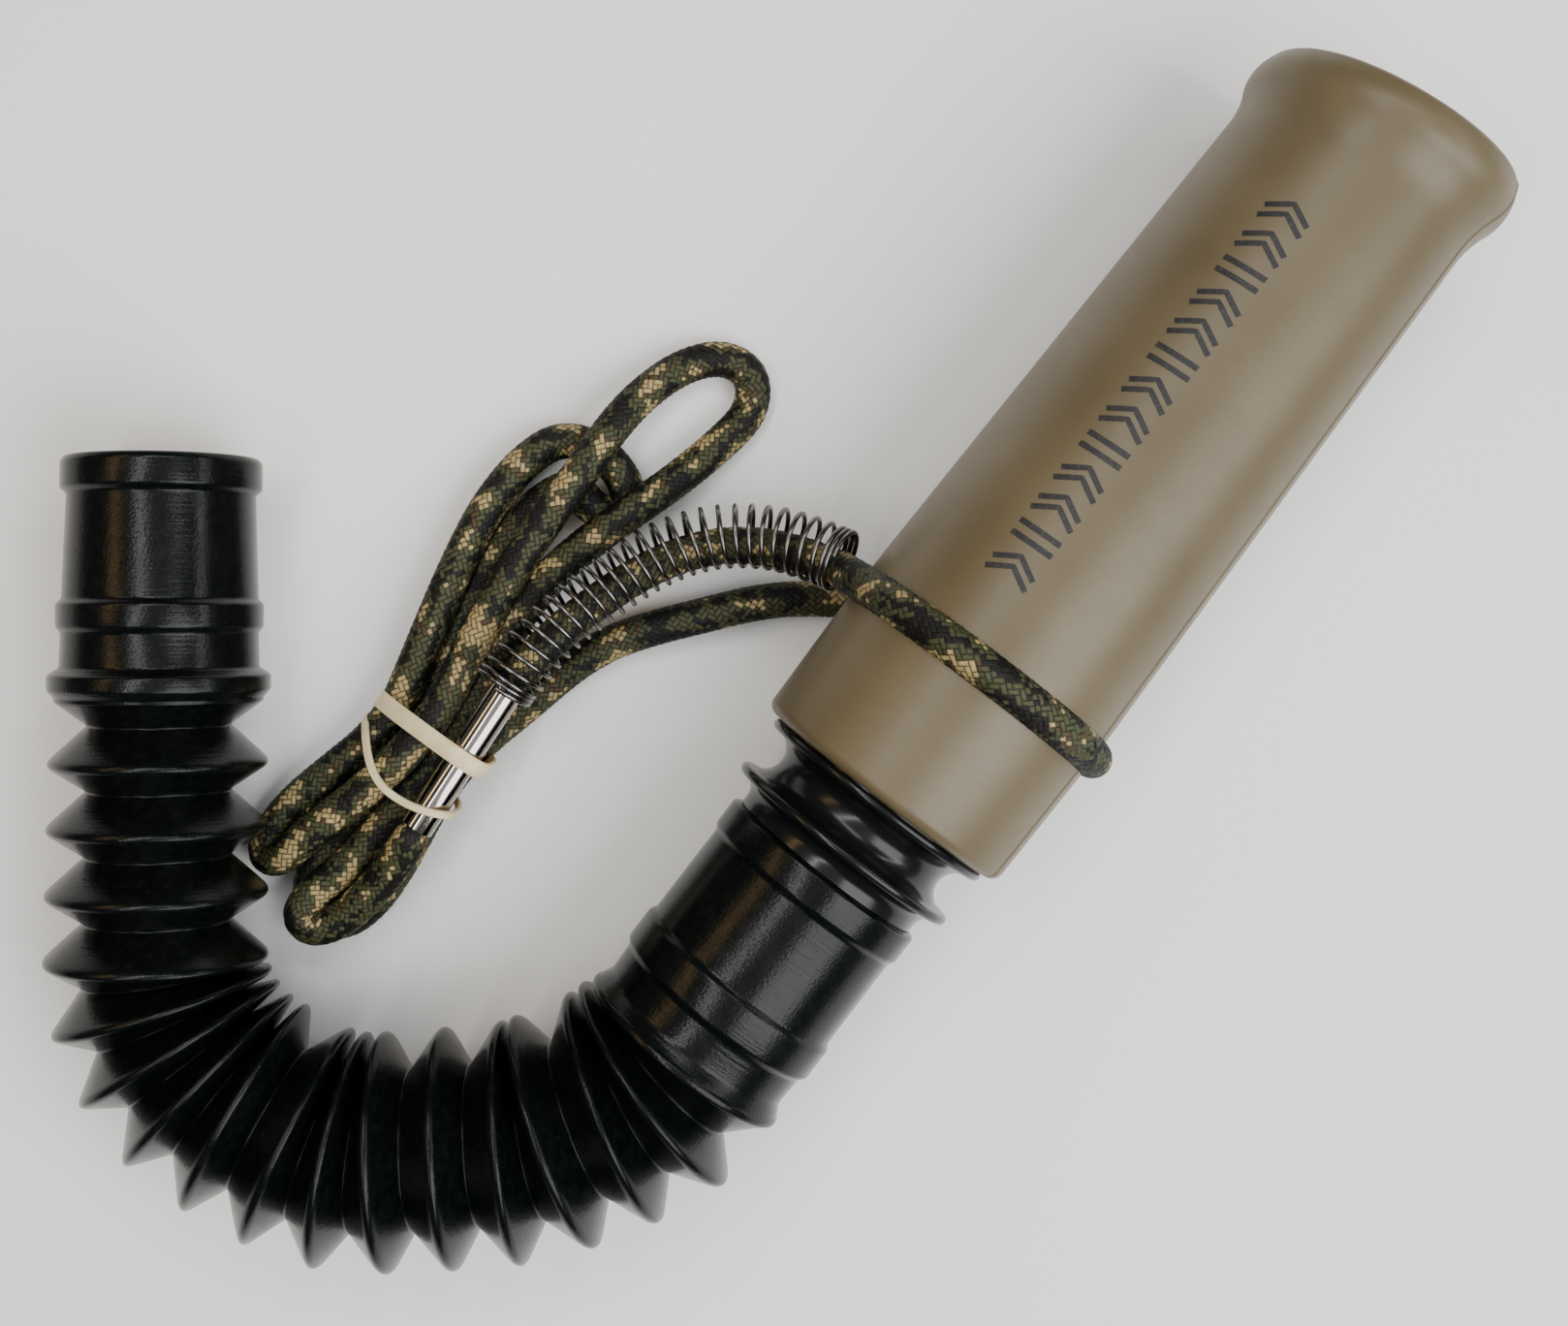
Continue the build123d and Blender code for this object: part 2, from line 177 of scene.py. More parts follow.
# ------------------------------------------------------------------ meshes
def skin(name, rows, loop=False, caps=False):
    """Mesh over rows of points that each go all the way round. In its UVs u is the share of the way round,
    and v is the distance along it in metres."""
    rows = np.array(rows, float) * MM
    count, around = rows.shape[:2]
    i, j = np.meshgrid(np.arange(count if loop else count - 1), np.arange(around), indexing="ij")
    next_i, next_j = (i + 1) % count, (j + 1) % around
    quads = np.stack([i * around + j, i * around + next_j, next_i * around + next_j,
                      next_i * around + j], -1).reshape(-1, 4)
    faces = quads.tolist()
    if caps:
        faces.append(list(range(around))[::-1])
        faces.append(list(range((count - 1) * around, count * around)))
    mesh = bpy.data.meshes.new(name)
    mesh.from_pydata(rows.reshape(-1, 3).tolist(), [], faces)
    gaps = np.linalg.norm(np.diff(rows, axis=0, append=rows[:1]), axis=2).mean(1)
    v = np.concatenate([[0], np.cumsum(gaps)])
    round_share = np.stack([j, j + 1, j + 1, j], -1) / around
    distance = np.stack([v[i], v[i], v[i + 1], v[i + 1]], -1)
    uv = np.stack([round_share, distance], -1).reshape(-1, 2)
    if caps:
        uv = np.concatenate([uv, np.zeros((around, 2)), np.full((around, 2), v[count - 1])])
    layer = mesh.uv_layers.new(name="UVMap")
    layer.data.foreach_set("uv", uv.astype(np.float32).ravel())
    piece = bpy.data.objects.new(name, mesh)
    bpy.context.scene.collection.objects.link(piece)
    return piece


def smooth(piece, angle=35):
    piece.data.shade_smooth()
    piece.data.set_sharp_from_angle(angle=radians(angle))


def thicken(piece, wall):
    """Gives an open skin a wall on its inner side."""
    modifier = piece.modifiers.new("Wall", "SOLIDIFY")
    modifier.thickness, modifier.offset = wall * MM, -1
    evaluated = piece.evaluated_get(bpy.context.evaluated_depsgraph_get())
    mesh = bpy.data.meshes.new_from_object(evaluated)
    piece.modifiers.clear()
    piece.data = mesh


def finish_piece(piece, material, body=None, replaces=(), angle=35):
    smooth(piece, angle)
    piece.data.materials.clear()
    piece.data.materials.append(material)
    if body:
        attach(piece, body)
    if replaces:
        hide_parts(*replaces)
    return piece


def turned(name, axis, outline, angles, bump=None, shift=None):
    """Closed outline of (x, radius) turned about an axis. bump adds to its radius, and shift to its x."""
    outline = np.array(outline, float)
    x, r = outline[:, 0], outline[:, 1]
    if np.sum(x * np.roll(r, -1) - np.roll(x, -1) * r) > 0:
        outline = outline[::-1]
    rows = [axis.ring(px, pr + (bump(px, pr, angles) if bump else 0), angles) for px, pr in outline]
    if shift:
        rows = [row + np.outer(shift(px, angles), axis.along) for row, (px, pr) in zip(rows, outline)]
    return skin(name, rows, loop=True)


def full_turn(sides):
    return np.linspace(0, 2 * pi, sides, endpoint=False)


def carried(path, first_side):
    """Two directions across a path, at right angles to each other, carried along it with no twist."""
    tangents = unit(np.gradient(path, axis=0))
    normal = np.cross(np.cross(tangents[0], first_side), tangents[0])
    normals = []
    for t in tangents:
        normal = unit(normal - np.dot(normal, t) * t)
        normals.append(normal)
    normals = np.array(normals)
    return normals, np.cross(tangents, normals)


def evenly(path, step):
    """The path resampled at about this step."""
    gaps = np.linalg.norm(np.diff(path, axis=0), axis=1)
    s = np.concatenate([[0], np.cumsum(gaps)])
    stations = np.linspace(0, s[-1], int(ceil(s[-1] / step)) + 1)
    return np.stack([np.interp(stations, s, path[:, i]) for i in range(3)], -1), stations


def spline_path(points, closed=False):
    """Points along the NURBS spline with these control points, in millimetres."""
    curve = bpy.data.curves.new("route", "CURVE")
    curve.dimensions = "3D"
    spline = curve.splines.new("NURBS")
    spline.points.add(len(points) - 1)
    for control, point in zip(spline.points, points):
        control.co = (*(float(c) * MM for c in point), 1)
    spline.order_u = 3
    spline.use_endpoint_u = not closed
    spline.use_cyclic_u = closed
    spline.resolution_u = 16
    route = bpy.data.objects.new("route", curve)
    bpy.context.scene.collection.objects.link(route)
    mesh = bpy.data.meshes.new_from_object(route)
    path = np.array([v.co for v in mesh.vertices]) / MM
    apart = np.linalg.norm(np.diff(path, axis=0), axis=1) > 0.02
    path = path[np.concatenate([[True], apart])]
    bpy.data.objects.remove(route)
    bpy.data.curves.remove(curve)
    bpy.data.meshes.remove(mesh)
    return path


# ------------------------------------------------------------------ materials
def srgb(*channels):
    """Linear colour from sRGB values of 0 to 255."""
    shares = [c / 255 for c in channels]
    return tuple(((c + 0.055) / 1.055) ** 2.4 if c > 10 / 255 else c / 12.92 for c in shares) + (1.0,)


class Finish:
    """A material, with short ways to wire its nodes."""

    def __init__(self, name, colour, roughness, **sockets):
        self.material = bpy.data.materials.new(name)
        self.material.use_nodes = True
        self.tree = self.material.node_tree
        self.shader = self.tree.nodes["Principled BSDF"]
        for socket, value in dict(Base_Color=colour, Roughness=roughness, **sockets).items():
            self.shader.inputs[socket.replace("_", " ")].default_value = value

    def node(self, kind, inputs, **settings):
        node = self.tree.nodes.new("ShaderNode" + kind)
        for key, value in settings.items():
            setattr(node, key, value)
        for key, value in inputs.items():
            if isinstance(value, bpy.types.NodeSocket):
                self.tree.links.new(value, node.inputs[key])
            else:
                node.inputs[key].default_value = value
        return node

    def math(self, operation, a, b=0.0):
        return self.node("Math", {0: a, 1: b}, operation=operation).outputs[0]

    def place(self):
        return self.node("TexCoord", {}).outputs["Object"]

    def uv(self):
        parts = self.node("SeparateXYZ", {0: self.node("UVMap", {}).outputs[0]})
        return parts.outputs[0], parts.outputs[1]

    def vector(self, x, y, z=0.0):
        return self.node("CombineXYZ", {0: x, 1: y, 2: z}).outputs[0]

    def stretched(self, scale):
        return self.node("Mapping", {"Vector": self.place(), "Scale": scale}).outputs[0]

    def noise(self, vector, scale, detail=3.0, roughness=0.5):
        return self.node("TexNoise", {"Vector": vector, "Scale": scale, "Detail": detail,
                                      "Roughness": roughness}).outputs["Fac"]

    def ramp(self, value, stops, interpolation="LINEAR"):
        node = self.node("ValToRGB", {"Fac": value})
        ramp = node.color_ramp
        ramp.interpolation = interpolation
        while len(ramp.elements) < len(stops):
            ramp.elements.new(0.5)
        for element, (position, colour) in zip(ramp.elements, stops):
            element.position = position
            element.color = colour
        return node.outputs["Color"]

    def mix(self, factor, a, b):
        return self.node("Mix", {0: factor, 6: a, 7: b}, data_type="RGBA").outputs[2]

    def mix_value(self, factor, a, b):
        return self.node("Mix", {0: factor, 2: a, 3: b}, data_type="FLOAT").outputs[0]

    def between(self, value, low, high):
        """A 0 to 1 value stretched to low to high."""
        return self.node("MapRange", {"Value": value, "To Min": low, "To Max": high}).outputs[0]

    def connect(self, socket, value):
        self.tree.links.new(value, self.shader.inputs[socket])

    def bump(self, height, strength, distance):
        node = self.node("Bump", {"Height": height, "Strength": strength, "Distance": distance * MM})
        self.connect("Normal", node.outputs[0])


def tan_plastic():
    """Satin soft-touch paint: slow mottling and a fine orange-peel grain."""
    f = Finish("tan_satin", srgb(93, 82, 57), 0.4, Specular_IOR_Level=0.5)
    slow = f.noise(f.place(), 45, 3, 0.6)
    colour = f.ramp(slow, [(0.25, srgb(87, 76, 51)), (0.75, srgb(99, 88, 63))])
    f.connect("Base Color", colour)
    f.connect("Roughness", f.between(f.noise(f.place(), 260, 4, 0.6), 0.36, 0.5))
    f.bump(f.noise(f.place(), 1300, 3, 0.6), 0.6, 0.04)
    return f.material


def hose_plastic():
    """Black blow-moulded plastic: fine rings round the hose, faint dust."""
    f = Finish("hose_black", srgb(12, 14, 15), 0.24, Specular_IOR_Level=0.2)
    u, v = f.uv()
    dust = f.noise(f.place(), 700, 5, 0.7)
    f.connect("Base Color", f.ramp(dust, [(0.45, srgb(6, 9, 9)), (0.8, srgb(18, 21, 21))]))
    f.connect("Roughness", f.between(f.noise(f.place(), 220, 4, 0.6), 0.14, 0.3))
    rings = f.noise(f.vector(f.math("MULTIPLY", u, 3), f.math("MULTIPLY", v, 2500)), 1.0, 3, 0.6)
    grain = f.noise(f.place(), 2600, 2, 0.5)
    f.bump(f.math("ADD", rings, f.math("MULTIPLY", grain, 0.8)), 0.6, 0.07)
    return f.material


def black_plastic():
    """Glossy black moulding with hair-fine marks."""
    f = Finish("adapter_black", srgb(15, 16, 17), 0.2, Specular_IOR_Level=0.3)
    f.connect("Roughness", f.between(f.noise(f.place(), 300, 4, 0.6), 0.12, 0.3))
    f.bump(f.noise(f.stretched((1, 8, 8)), 400, 3, 0.5), 0.15, 0.02)
    return f.material


def camo_cord():
    """Braid of yarns both ways, two over and two under, in patches of olive, black, brown and tan, with
    painted shade in the gaps between picks.
    """
    f = Finish("camo_braid", srgb(58, 60, 42), 0.55, Specular_IOR_Level=0.25)
    u, v = f.uv()
    turns = f.math("MULTIPLY", u, BRAID_YARNS)
    rise = f.math("DIVIDE", v, BRAID_ROW * MM)
    right, left = f.math("ADD", turns, rise), f.math("SUBTRACT", turns, rise)
    right_id, left_id = f.math("FLOOR", right), f.math("FLOOR", left)
    over = f.math("LESS_THAN", f.math("FLOORED_MODULO", f.math("SUBTRACT", right_id, left_id), 4.0), 1.5)
    # Patches are the same for a whole pick, and go round the cord without a seam
    round_cord = f.math("MULTIPLY", f.math("ADD", right_id, left_id), pi / BRAID_YARNS)
    along = f.math("MULTIPLY", f.math("SUBTRACT", right_id, left_id), BRAID_ROW / 2 / PATCH_LENGTH)
    patch = f.noise(f.vector(f.math("SINE", round_cord), f.math("COSINE", round_cord), along), 0.9, 1, 0.5)
    yarn = f.mix(over, f.vector(left_id, 7.0, along), f.vector(right_id, 3.0, along))
    stray = f.noise(yarn, 2.3, 2, 0.6)
    value = f.math("ADD", f.math("MULTIPLY", patch, 0.72), f.math("MULTIPLY", stray, 0.28))
    colour = f.ramp(value, [(0.0, srgb(18, 17, 14)), (0.455, srgb(74, 77, 49)), (0.555, srgb(80, 64, 42)),
                            (0.575, srgb(186, 165, 114))], "CONSTANT")
    fibre = f.noise(f.vector(f.math("MULTIPLY", u, 90), f.math("DIVIDE", v, 0.35 * MM)), 1.0, 3, 0.6)
    # Painted shade in the gaps along both sides and at both ends of each pick; the same mask also sinks the
    # gaps in the bump
    across = f.mix_value(over, f.math("FRACT", left), f.math("FRACT", right))
    right_way_along = f.math("SUBTRACT", left, f.math("SUBTRACT", right_id, 1.0))
    left_way_along = f.math("SUBTRACT", right, f.math("ADD", left_id, 2.0))
    lengthwise = f.mix_value(over, f.math("FLOORED_MODULO", left_way_along, 4.0),
                             f.math("FLOORED_MODULO", right_way_along, 4.0))
    off_middle = f.math("ABSOLUTE", f.math("SUBTRACT", f.math("MULTIPLY", across, 2.0), 1.0))
    side_gap = f.math("POWER", off_middle, 3.0)
    end_gap = f.math("POWER", f.math("ABSOLUTE", f.math("SUBTRACT", lengthwise, 1.0)), 6.0)
    gap_shade_and_groove = f.math("MAXIMUM", side_gap, end_gap)
    shaded = f.mix(f.math("MULTIPLY", fibre, 0.4), colour, srgb(14, 13, 10))
    # painted shade: the gaps between picks are darkened to near black
    f.connect("Base Color", f.mix(gap_shade_and_groove, shaded, srgb(5, 5, 4)))
    f.bump(f.math("SUBTRACT", fibre, gap_shade_and_groove), 0.6, 0.12)
    return f.material


def spring_steel():
    f = Finish("dark_nickel", srgb(112, 110, 108), 0.24, Metallic=1.0)
    u, v = f.uv()
    drawn = f.noise(f.vector(f.math("MULTIPLY", u, 8), f.math("DIVIDE", v, 4 * MM)), 1.0, 3, 0.6)
    f.connect("Roughness", f.between(drawn, 0.16, 0.34))
    f.connect("Base Color", f.ramp(drawn, [(0.2, srgb(84, 82, 80)), (0.8, srgb(132, 130, 128))]))
    return f.material


def chrome():
    f = Finish("ferrule_chrome", srgb(176, 171, 164), 0.07, Metallic=1.0)
    f.connect("Roughness", f.between(f.noise(f.place(), 900, 4, 0.7), 0.04, 0.14))
    return f.material


def latex():
    f = Finish("latex", srgb(224, 207, 166), 0.46, Subsurface_Weight=0.15, Subsurface_Scale=0.002)
    chalk = f.noise(f.place(), 500, 4, 0.6)
    f.connect("Base Color", f.ramp(chalk, [(0.3, srgb(214, 196, 152)), (0.75, srgb(232, 217, 180))]))
    f.bump(chalk, 0.3, 0.05)
    return f.material


def seal_rubber():
    f = Finish("seal_rubber", srgb(26, 26, 26), 0.55)
    f.bump(f.noise(f.place(), 1500, 3, 0.6), 0.2, 0.02)
    return f.material


def clear_plastic():
    f = Finish("clear_plastic", srgb(206, 214, 214), 0.12, Transmission_Weight=0.75, IOR=1.49)
    f.connect("Roughness", f.between(f.noise(f.place(), 500, 3, 0.6), 0.06, 0.2))
    return f.material


def reed_film():
    f = Finish("reed_film", srgb(232, 232, 222), 0.25, Transmission_Weight=0.35)
    f.connect("Roughness", f.between(f.noise(f.place(), 600, 3, 0.6), 0.18, 0.34))
    return f.material


def cork():
    f = Finish("cork", srgb(176, 138, 92), 0.85)
    grain = f.noise(f.place(), 900, 5, 0.8)
    f.connect("Base Color", f.ramp(grain, [(0.35, srgb(120, 84, 52)), (0.7, srgb(192, 152, 104))]))
    f.bump(grain, 0.5, 0.1)
    return f.material


def print_ink():
    """Worn pad-printing ink."""
    f = Finish("print_ink", srgb(16, 15, 17), 0.5)
    worn = f.noise(f.place(), 1800, 4, 0.7)
    f.connect("Base Color", f.ramp(worn, [(0.5, srgb(12, 11, 14)), (0.72, srgb(52, 48, 42))]))
    return f.material


TAN, HOSE, BLACK, CAMO = tan_plastic(), hose_plastic(), black_plastic(), camo_cord()
STEEL, CHROME, LATEX, INK = spring_steel(), chrome(), latex(), print_ink()

# ------------------------------------------------------------------ barrel
MOULD_LINE = radians(61)      # from the top towards -Y
MOULD_LINE_HALF = 0.018       # half its width, in radians
MOULD_LINE_HEIGHT = 0.16
RIM_SETBACK = 1.0
RIM_LEAN = 2.8
RIM_BEND_START = 98.0


def mould_lines(x, r, angles):
    """The two ridges where the mould's halves met, on outside faces only."""
    if r < MOUTH_R + 0.5:
        return 0
    away = np.abs((angles - MOULD_LINE + pi / 2) % pi - pi / 2)
    return MOULD_LINE_HEIGHT * np.clip(1 - away / MOULD_LINE_HALF, 0, 1)


def rim_setback(x, angles):
    """The mouth's rim is not quite square: its +Y side, top and bottom lie back from its -Y side."""
    reach = np.clip((x - RIM_BEND_START) / (BARREL_LENGTH - RIM_BEND_START), 0, 1)
    return -reach * (RIM_SETBACK * np.cos(angles) ** 2 + RIM_LEAN * (1 - np.sin(angles)) / 2)


def barrel_surface(x):
    """Plain outer radius of the barrel at x."""
    return np.interp(x, (BACK_EDGE, GROOVE_X, WAIST_X), (BACK_R, BARREL_R, WAIST_R))


def barrel_outline():
    middle = BACK_EDGE * 0.293      # the middle of a quarter circle, from its corner
    back = arc((0, BACK_R - BACK_EDGE), (middle, BACK_R - middle), (BACK_EDGE, BACK_R))
    groove_r = CORD_D / 2 + 0.05
    rise = BARREL_R - WRAP_R
    half = (groove_r * groove_r - rise * rise) ** 0.5
    groove = arc((GROOVE_X - half, barrel_surface(GROOVE_X - half)), (GROOVE_X, WRAP_R - groove_r),
                 (GROOVE_X + half, barrel_surface(GROOVE_X + half)), 16)
    body = [(x, barrel_surface(x)) for x in (5.0, 9.0, 13.0)]
    front = [(x, barrel_surface(x)) for x in np.linspace(GROOVE_X + half, WAIST_X, 12)[1:-1]]
    flare = (arc((WAIST_X, WAIST_R), (105.8, 17.95), (108.8, 18.9), 10)
             + arc((108.8, 18.9), (111.2, LIP_R), (113.6, 18.6), 8)[1:]
             + arc((113.6, 18.6), (114.7, 17.9), (BARREL_LENGTH, 17.1), 6)[1:])
    inside = [(BARREL_LENGTH, MOUTH_R + 0.4), (114.2, MOUTH_R), (POCKET_END, POCKET_R + 0.2),
              (POCKET_END - 0.4, POCKET_R), (POCKET_START, POCKET_R), (POCKET_START, BORE_R - 0.5),
              (SOCKET_DEPTH, BORE_R), (SOCKET_DEPTH, SOCKET_R), (0, SOCKET_R)]
    return back + body + groove + front + flare + inside


ridge_angles = [MOULD_LINE + side * pi + part * MOULD_LINE_HALF
                for side in (0, 1) for part in (-1, -0.5, 0, 0.5, 1)]
barrel_angles = np.array(sorted(list(full_turn(240)) + ridge_angles))
finish_piece(turned("barrel", barrel_axis, barrel_outline(), barrel_angles, mould_lines, rim_setback),
             TAN, "barrel", ["barrel_shell"], angle=28)

# ------------------------------------------------------------------ printed mark: plain bars and chevrons
PRINT_START, PRINT_END = 31.0, 92.0
PRINT_MARKS = 13
BAR_WIDTH, CHEVRON_WIDTH = 0.8, 0.75
PRINT_ANGLE = radians(-22)
PRINT_HEIGHT = 6.2
PRINT_LIFT = 0.04


def stroke(points, width):
    """Flat ribbon on the barrel along points of (x, height) in the mark's own frame."""
    points = np.array(points, float)
    samples = np.concatenate([np.linspace(a, b, 7)[:-1] for a, b in zip(points, points[1:])] + [points[-1:]])
    side = unit(np.gradient(samples, axis=0))[:, ::-1] * (1, -1) * width / 2
    rows = []
    for x, h in np.stack([samples + side, samples - side], 1).reshape(-1, 2):
        radius = barrel_surface(x) + PRINT_LIFT
        rows.append(barrel_axis.ring(x, radius, np.array([PRINT_ANGLE - h / radius]))[0])
    return np.array(rows) * MM


def printed_mark():
    """Pairs of bars, with pairs of chevrons between them."""
    marks = []
    half = PRINT_HEIGHT / 2
    pitch = (PRINT_END - PRINT_START) / PRINT_MARKS
    for i in range(PRINT_MARKS):
        x = PRINT_START + (i + 0.5) * pitch
        if i % 3 == 1:
            for shift in (-0.9, 0.9):
                marks.append(stroke([(x + shift, -half), (x + shift, half)], BAR_WIDTH))
        else:
            for tail in (x - 1.7, x - 0.1):
                marks.append(stroke([(tail, -half), (tail + 1.8, 0), (tail, half)], CHEVRON_WIDTH))
    verts, faces = [], []
    for mark in marks:
        base = len(verts)
        verts += mark.tolist()
        faces += [(base + i, base + i + 2, base + i + 3, base + i + 1) for i in range(0, len(mark) - 2, 2)]
    mesh = bpy.data.meshes.new("printed_mark")
    mesh.from_pydata(verts, [], faces)
    piece = bpy.data.objects.new("printed_mark", mesh)
    bpy.context.scene.collection.objects.link(piece)
    return piece


finish_piece(printed_mark(), INK, "barrel")

# ------------------------------------------------------------------ hose adapter
SPIGOT_R = SOCKET_R - 0.25
SEAL_GROOVE_R = 14.6
adapter_outline = ([(12.0, ADAPTER_BORE), (12.0, SPIGOT_R - 0.7), (11.3, SPIGOT_R), (7.6, SPIGOT_R),
                    (7.6, SEAL_GROOVE_R), (5.4, SEAL_GROOVE_R), (5.4, SPIGOT_R), (-0.2, SPIGOT_R)]
                   + arc((-0.2, 16.8), (-0.8, 17.1), (-1.5, 16.5), 8)
                   + arc((-1.5, 16.5), (-4.5, 13.15), (-7.5, 16.4), 20)[1:]
                   + arc((-7.5, 16.4), (-8.3, 17.05), (-8.9, 16.3), 8)[1:]
                   + arc((-8.9, 16.3), (-9.8, 14.4), (-11.0, 14.0), 8)[1:]
                   + [(-12.1, 14.0), (-12.1, TAIL_R), (TAIL_END + 0.7, TAIL_R), (TAIL_END, TAIL_R - 0.7),
                      (TAIL_END, ADAPTER_BORE)])
finish_piece(turned("adapter", barrel_axis, adapter_outline, full_turn(192)),
             BLACK, "hose_base", ["hose_adapter"], angle=28)

# ------------------------------------------------------------------ hose
HOSE_SIDES = 144
SKIN_WALL = 0.4
CREST_HALF = 0.45        # half the width of a crest's top, before its edges are rounded
CREST_ROUND = 0.85       # how far down a flank its rounding reaches
VALLEY_ROUND = 0.4
EDGE_ROUND = 0.35        # on the cuffs
hose_angles = full_turn(HOSE_SIDES)
crests, valleys = hose_sections()


def toward(a, b, distance):
    return a + unit(b - a) * distance


def bend_between(a, corner, b, steps):
    """Rows from a to b that curve round a corner."""
    return [(1 - t) ** 2 * a + 2 * t * (1 - t) * corner + t * t * b for t in np.linspace(0, 1, steps + 1)]


valley_rows = {k: valleys[k].ring(0, valley_radius(k) - 0.1, hose_angles) for k in range(PLEATS + 1)}


def crest_rows(k):
    """Rows over crest k, from its root side to its far side, where the valley walls start."""
    near, far = (crests[k].ring(x, crest_radius(k), hose_angles) for x in (-CREST_HALF, CREST_HALF))
    top = crests[k].ring(0, crest_radius(k), hose_angles)
    start = toward(near, valley_rows[k], CREST_ROUND)
    end = toward(far, valley_rows[k - 1], CREST_ROUND)
    return bend_between(start, near, top, 6) + bend_between(top, far, end, 6)[1:]


crest_skins = {k: crest_rows(k) for k in range(1, PLEATS + 1)}
for k, rows in crest_skins.items():
    bead = skin(f"crest_{k:02d}", rows)
    thicken(bead, SKIN_WALL)
    finish_piece(bead, HOSE, PLEAT_BODY[k], [f"pleat_{k:02d}"], angle=50)

root_axis = Turning(barrel_axis.origin, (-1, 0, 0), HOSE_NORMAL)
root_start = root_axis.ring(-FLANGE_X + 0.35, FLANGE_R - 0.5, hose_angles)
CUFF_SHOULDER = (3.05, 13.66)
cuff_start = valleys[0].ring(*CUFF_SHOULDER, hose_angles)


def web_rows(k):
    """Rows down into the valley on the root side of pleat k and up again."""
    start = crest_skins[k + 1][-1] if k < PLEATS else root_start
    end = crest_skins[k][0] if k else cuff_start
    bottom = valley_rows[k]
    down, up = toward(bottom, start, VALLEY_ROUND), toward(bottom, end, VALLEY_ROUND)
    shares = (0, 0.2, 0.4, 0.55, 0.7, 0.8, 0.88, 0.95)
    rows = [start + (down - start) * s for s in shares]
    rows += bend_between(down, bottom, up, 8)
    rows += [end + (up - end) * s for s in shares[::-1]]
    return rows


for k in range(PLEATS, -1, -1):
    rows = web_rows(k)
    web = skin(f"valley_{k:02d}", rows)
    thicken(web, SKIN_WALL)
    root_body, far_body = PLEAT_BODY[k + 1], PLEAT_BODY[k]
    if root_body == far_body:
        finish_piece(web, HOSE, root_body, angle=60)
        continue
    finish_piece(web, HOSE, angle=60)
    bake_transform(web)

# Root cuff, over the adapter's stub
root_outline = [(-12.2, 14.3), (-12.6, 15.05), (-16.4, 15.05), (-17.2, 14.5), (-30.6, 14.55), (-31.4, 15.1),
                (-35.8, 15.1), (-36.6, 14.4), (-40.8, 14.2), (-42.4, 15.0), (-42.9, FLANGE_R),
                (FLANGE_X - 0.1, FLANGE_R), (FLANGE_X - 0.55, FLANGE_R - 0.6),
                (FLANGE_X + 0.4, FLANGE_R - 1.6), (-40.5, TAIL_R), (-12.2, TAIL_R)]
finish_piece(turned("root_cuff", barrel_axis, softened(root_outline, EDGE_ROUND), full_turn(HOSE_SIDES)),
             HOSE, "hose_base", ["cuff_root"], angle=28)

# End cuff, from the last valley to the open end
CUFF_LENGTH, CUFF_BORE, CUFF_BORE_DEPTH = 36.8, 11.9, 22.8
CUFF_STEP = CUFF_LENGTH - CUFF_BORE_DEPTH      # where the bore narrows
CUFF_THROAT = 11.4
end_outline = [CUFF_SHOULDER, (3.3, 14.0), (3.8, 14.0), (4.2, 14.4), (4.9, 15.0), (6.9, 15.0), (7.9, 13.4),
               (12.7, 13.25), (13.5, 13.9), (16.6, 13.95), (17.3, 13.2), (31.7, 12.7), (32.5, 13.6),
               (36.1, 13.6), (CUFF_LENGTH, 13.1), (CUFF_LENGTH, CUFF_BORE + 0.3),
               (CUFF_LENGTH - 0.3, CUFF_BORE), (CUFF_STEP, CUFF_BORE), (CUFF_STEP, CUFF_THROAT),
               (3.8, CUFF_THROAT)]
finish_piece(turned("end_cuff_sleeve", valleys[0], softened(end_outline, EDGE_ROUND), full_turn(HOSE_SIDES)),
             HOSE, "end_cuff", ["cuff_end"], angle=28)


# ------------------------------------------------------------------ lanyard route
# Points are measured from the middle of the barrel's hose end, with Z above the ground. They were read off
# the photograph, put in millimetres with the camera below, and moved one by one. Heights are guessed.
def at_barrel(points):
    return [np.array((BACK_X + x, AXIS_Y + y, z)) for x, y, z in points]


LEAD = [(20.9, 22.7, 17.4), (19.7, 27.2, 15.2), (17.2, 32.8, 12.8), (12.7, 38.4, 11.6),
        (6.2, 42.8, 11.4), (-1.8, 45.8, 12.0), (-10.3, 48.0, 13.6), (-19.0, 48.6, 14.2)]
IN_FERRULE = [(-26.0, 48.1, 14.0), (-36.5, 47.4, 13.6), (-43.2, 46.9, 13.4)]
FIRST_FOLD = [(-48.6, 46.3, 11.6), (-53.4, 46.4, 9.6), (-58.0, 46.8, 8.0), (-62.0, 47.6, 7.0),
              (-65.2, 50.0, 6.5), (-64.8, 52.9, 6.2), (-60.8, 53.0, 6.0)]
TO_BIG_LOOP = [(-54.4, 51.4, 6.4), (-46.6, 50.7, 6.9), (-38.6, 50.4, 7.1), (-31.4, 50.9, 7.2),
               (-24.6, 51.8, 7.2), (-17.8, 52.8, 7.2), (-10.8, 54.0, 7.1), (-3.6, 53.7, 7.1),
               (3.6, 52.0, 7.1), (10.8, 49.8, 6.6), (18.0, 47.6, 4.6), (25.4, 45.9, 2.9)]
BIG_LOOP = [(32.0, 45.1, 2.6), (36.4, 48.2, 2.6), (35.9, 53.2, 2.6), (31.4, 57.0, 2.9)]
FROM_BIG_LOOP = [(25.0, 59.0, 4.7), (18.4, 59.6, 7.0), (11.4, 59.2, 8.0), (4.0, 59.0, 8.2),
                 (-3.6, 58.8, 8.5), (-10.6, 57.7, 8.9), (-17.4, 56.6, 9.5), (-24.2, 55.2, 10.2),
                 (-31.0, 54.4, 10.7), (-37.8, 54.7, 10.3), (-44.6, 56.1, 9.0), (-51.2, 57.7, 7.6)]
